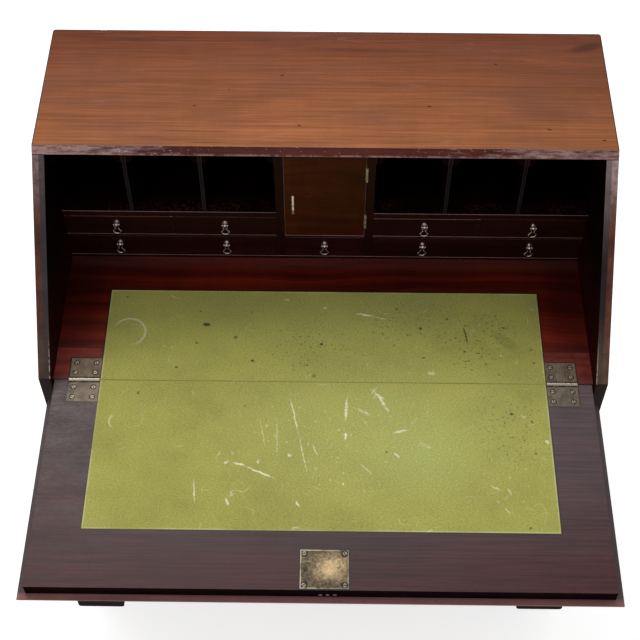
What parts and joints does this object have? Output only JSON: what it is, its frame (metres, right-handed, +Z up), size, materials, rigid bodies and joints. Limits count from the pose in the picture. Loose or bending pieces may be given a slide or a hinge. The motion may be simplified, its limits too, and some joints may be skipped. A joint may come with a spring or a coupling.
{
  "type": "slant-front desk",
  "caption": "Slant-front writing desk with a hinged fall on pull-out slides, a leather writing surface, an interior gallery of small drawers and pigeonholes, and long drawers below.",
  "frame": {"origin": "centre of the overall box on the floor, with the fall open and the slides out", "axes": "+X to the sitter's right, +Y from the sitter to the back of the desk, +Z up"},
  "size_m": [0.968, 0.9068, 1.0562],
  "materials": {
    "case_mahogany": "old wax polish, worn pale at the arrises",
    "writing_mahogany": "red-brown polish",
    "fall_mahogany": "dark polish with a greyish bloom",
    "front_mahogany": "wax polish",
    "inner_mahogany": "dark polish",
    "door_mahogany": "figured veneer, golden brown",
    "carcass_oak": "bare, dusty",
    "green_leather": "worn tooling leather, stained and scratched",
    "aged_brass": "tarnished, rubbed bright on the edges"
  },
  "bodies": {
    "carcass": {"side_left": "case_mahogany", "side_right": "case_mahogany", "top_board": "case_mahogany", "bottom_board": "carcass_oak", "back_boards": "carcass_oak", "writing_board": "writing_mahogany", "slide_rails": "inner_mahogany", "drawer_blades": "inner_mahogany", "drawer_runners": "carcass_oak", "base_moulding": "case_mahogany", "bracket_feet": "case_mahogany", "gallery_case": "inner_mahogany", "pigeonhole_dividers": "inner_mahogany", "board_leather": "green_leather", "fixed_hinge_leaves": "aged_brass", "fixed_screws": "aged_brass", "strike_plate": "aged_brass"},
    "fall": {"fall_panel": "fall_mahogany", "fall_leather": "green_leather", "fall_hinge_leaves": "aged_brass", "fall_screws": "aged_brass", "fall_lock": "aged_brass"},
    "lock_bolts": {"lock_bolts": "aged_brass"},
    "slide_left": {"slide_left": "inner_mahogany"},
    "slide_right": {"slide_right": "inner_mahogany"},
    "long_drawer_1": {"long_drawer_1": "front_mahogany", "long_drawer_1_posts": "aged_brass"},
    "long_drawer_1_bails": {"long_drawer_1_bails": "aged_brass"},
    "long_drawer_2": {"long_drawer_2": "front_mahogany", "long_drawer_2_posts": "aged_brass"},
    "long_drawer_2_bails": {"long_drawer_2_bails": "aged_brass"},
    "long_drawer_3": {"long_drawer_3": "front_mahogany", "long_drawer_3_posts": "aged_brass"},
    "long_drawer_3_bails": {"long_drawer_3_bails": "aged_brass"},
    "long_drawer_4": {"long_drawer_4": "front_mahogany", "long_drawer_4_posts": "aged_brass"},
    "long_drawer_4_bails": {"long_drawer_4_bails": "aged_brass"},
    "prospect_door": {"prospect_door": "door_mahogany", "prospect_door_fittings": "aged_brass"},
    "small_drawer_1": {"small_drawer_1": "inner_mahogany", "small_post_1": "aged_brass"},
    "small_loop_1": {"small_loop_1": "aged_brass"},
    "small_drawer_2": {"small_drawer_2": "inner_mahogany", "small_post_2": "aged_brass"},
    "small_loop_2": {"small_loop_2": "aged_brass"},
    "small_drawer_3": {"small_drawer_3": "inner_mahogany", "small_post_3": "aged_brass"},
    "small_loop_3": {"small_loop_3": "aged_brass"},
    "small_drawer_4": {"small_drawer_4": "inner_mahogany", "small_post_4": "aged_brass"},
    "small_loop_4": {"small_loop_4": "aged_brass"},
    "small_drawer_5": {"small_drawer_5": "inner_mahogany", "small_post_5": "aged_brass"},
    "small_loop_5": {"small_loop_5": "aged_brass"},
    "small_drawer_6": {"small_drawer_6": "inner_mahogany", "small_post_6": "aged_brass"},
    "small_loop_6": {"small_loop_6": "aged_brass"},
    "small_drawer_7": {"small_drawer_7": "inner_mahogany", "small_post_7": "aged_brass"},
    "small_loop_7": {"small_loop_7": "aged_brass"}
  },
  "joints": [
    {"name": "fall_hinge", "type": "hinge", "parent": "carcass", "child": "fall", "pos_m": [0, -0.0706, 0.7596], "axis": [-1, 0, 0], "range_deg": [0, 134]},
    {"name": "lock_bolt_slide", "type": "slide", "parent": "fall", "child": "lock_bolts", "axis": [0, -1, 0], "range_m": [0, 0.012]},
    {"name": "slide_left_travel", "type": "slide", "parent": "carcass", "child": "slide_left", "axis": [0, 1, 0], "range_m": [0, 0.366]},
    {"name": "slide_right_travel", "type": "slide", "parent": "carcass", "child": "slide_right", "axis": [0, 1, 0], "range_m": [0, 0.3625]},
    {"name": "long_drawer_1_travel", "type": "slide", "parent": "carcass", "child": "long_drawer_1", "axis": [0, 1, 0], "range_m": [-0.38, 0]},
    {"name": "long_drawer_1_bail_swing", "type": "hinge", "parent": "long_drawer_1", "child": "long_drawer_1_bails", "pos_m": [0, -0.1036, 0.6405], "axis": [-1, 0, 0], "range_deg": [-30, 110]},
    {"name": "long_drawer_2_travel", "type": "slide", "parent": "carcass", "child": "long_drawer_2", "axis": [0, 1, 0], "range_m": [-0.38, 0]},
    {"name": "long_drawer_2_bail_swing", "type": "hinge", "parent": "long_drawer_2", "child": "long_drawer_2_bails", "pos_m": [0, -0.1036, 0.512], "axis": [-1, 0, 0], "range_deg": [-30, 110]},
    {"name": "long_drawer_3_travel", "type": "slide", "parent": "carcass", "child": "long_drawer_3", "axis": [0, 1, 0], "range_m": [-0.38, 0]},
    {"name": "long_drawer_3_bail_swing", "type": "hinge", "parent": "long_drawer_3", "child": "long_drawer_3_bails", "pos_m": [0, -0.1036, 0.367], "axis": [-1, 0, 0], "range_deg": [-30, 110]},
    {"name": "long_drawer_4_travel", "type": "slide", "parent": "carcass", "child": "long_drawer_4", "axis": [0, 1, 0], "range_m": [-0.38, 0]},
    {"name": "long_drawer_4_bail_swing", "type": "hinge", "parent": "long_drawer_4", "child": "long_drawer_4_bails", "pos_m": [0, -0.1036, 0.2035], "axis": [-1, 0, 0], "range_deg": [-30, 110]},
    {"name": "cupboard_door_hinge", "type": "hinge", "parent": "carcass", "child": "prospect_door", "pos_m": [0.0701, 0.1898, 0.9096], "axis": [0, 0, -1], "range_deg": [-90, 0]},
    {"name": "small_drawer_1_travel", "type": "slide", "parent": "carcass", "child": "small_drawer_1", "axis": [0, 1, 0], "range_m": [-0.17, 0]},
    {"name": "small_loop_1_swing", "type": "hinge", "parent": "small_drawer_1", "child": "small_loop_1", "pos_m": [0, 0.1849, 0.8571], "axis": [-1, 0, 0], "range_deg": [-6, 90]},
    {"name": "small_drawer_2_travel", "type": "slide", "parent": "carcass", "child": "small_drawer_2", "axis": [0, 1, 0], "range_m": [-0.17, 0]},
    {"name": "small_loop_2_swing", "type": "hinge", "parent": "small_drawer_2", "child": "small_loop_2", "pos_m": [0, 0.1849, 0.8571], "axis": [-1, 0, 0], "range_deg": [-6, 90]},
    {"name": "small_drawer_3_travel", "type": "slide", "parent": "carcass", "child": "small_drawer_3", "axis": [0, 1, 0], "range_m": [-0.17, 0]},
    {"name": "small_loop_3_swing", "type": "hinge", "parent": "small_drawer_3", "child": "small_loop_3", "pos_m": [0, 0.1849, 0.8571], "axis": [-1, 0, 0], "range_deg": [-6, 90]},
    {"name": "small_drawer_4_travel", "type": "slide", "parent": "carcass", "child": "small_drawer_4", "axis": [0, 1, 0], "range_m": [-0.17, 0]},
    {"name": "small_loop_4_swing", "type": "hinge", "parent": "small_drawer_4", "child": "small_loop_4", "pos_m": [0, 0.1849, 0.8571], "axis": [-1, 0, 0], "range_deg": [-6, 90]},
    {"name": "small_drawer_5_travel", "type": "slide", "parent": "carcass", "child": "small_drawer_5", "axis": [0, 1, 0], "range_m": [-0.17, 0]},
    {"name": "small_loop_5_swing", "type": "hinge", "parent": "small_drawer_5", "child": "small_loop_5", "pos_m": [0, 0.1849, 0.8036], "axis": [-1, 0, 0], "range_deg": [-6, 90]},
    {"name": "small_drawer_6_travel", "type": "slide", "parent": "carcass", "child": "small_drawer_6", "axis": [0, 1, 0], "range_m": [-0.17, 0]},
    {"name": "small_loop_6_swing", "type": "hinge", "parent": "small_drawer_6", "child": "small_loop_6", "pos_m": [0, 0.1849, 0.8036], "axis": [-1, 0, 0], "range_deg": [-6, 90]},
    {"name": "small_drawer_7_travel", "type": "slide", "parent": "carcass", "child": "small_drawer_7", "axis": [0, 1, 0], "range_m": [-0.17, 0]},
    {"name": "small_loop_7_swing", "type": "hinge", "parent": "small_drawer_7", "child": "small_loop_7", "pos_m": [0, 0.1849, 0.8036], "axis": [-1, 0, 0], "range_deg": [-6, 90]}
  ]
}
